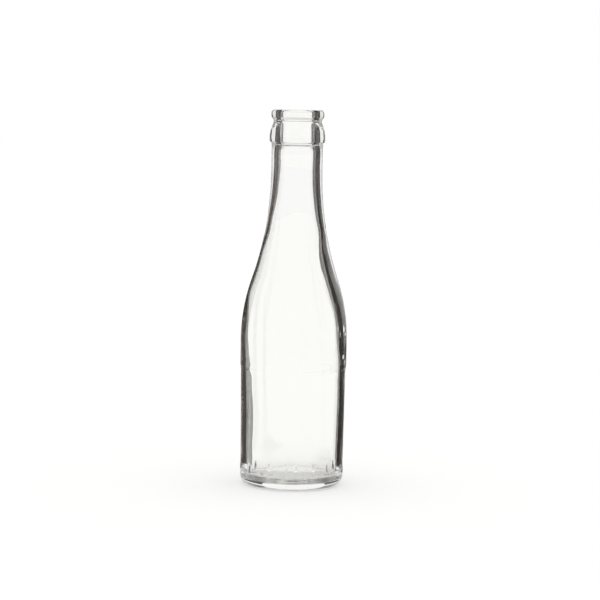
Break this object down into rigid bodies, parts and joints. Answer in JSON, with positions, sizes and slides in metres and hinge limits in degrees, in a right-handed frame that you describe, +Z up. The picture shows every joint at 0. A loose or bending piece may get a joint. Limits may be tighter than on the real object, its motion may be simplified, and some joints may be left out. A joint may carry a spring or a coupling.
{
  "type": "glass soda bottle",
  "caption": "Empty clear glass soda bottle with a crown cork mouth, long sloping neck, shoulder band, recessed label panel and a thick, slightly pushed-up base.",
  "frame": {"origin": "on the bottle's axis, in the plane of the flat ring that it stands on", "axes": "+Z up along the bottle's axis, towards the mouth. The bottle is round, so X and Y are free."},
  "size_m": [0.0537, 0.0536, 0.19],
  "materials": {
    "clear_glass": "clear colourless soda-lime glass, smooth and fire-polished"
  },
  "bodies": {
    "root": {"glass_bottle": "clear_glass"}
  },
  "joints": []
}
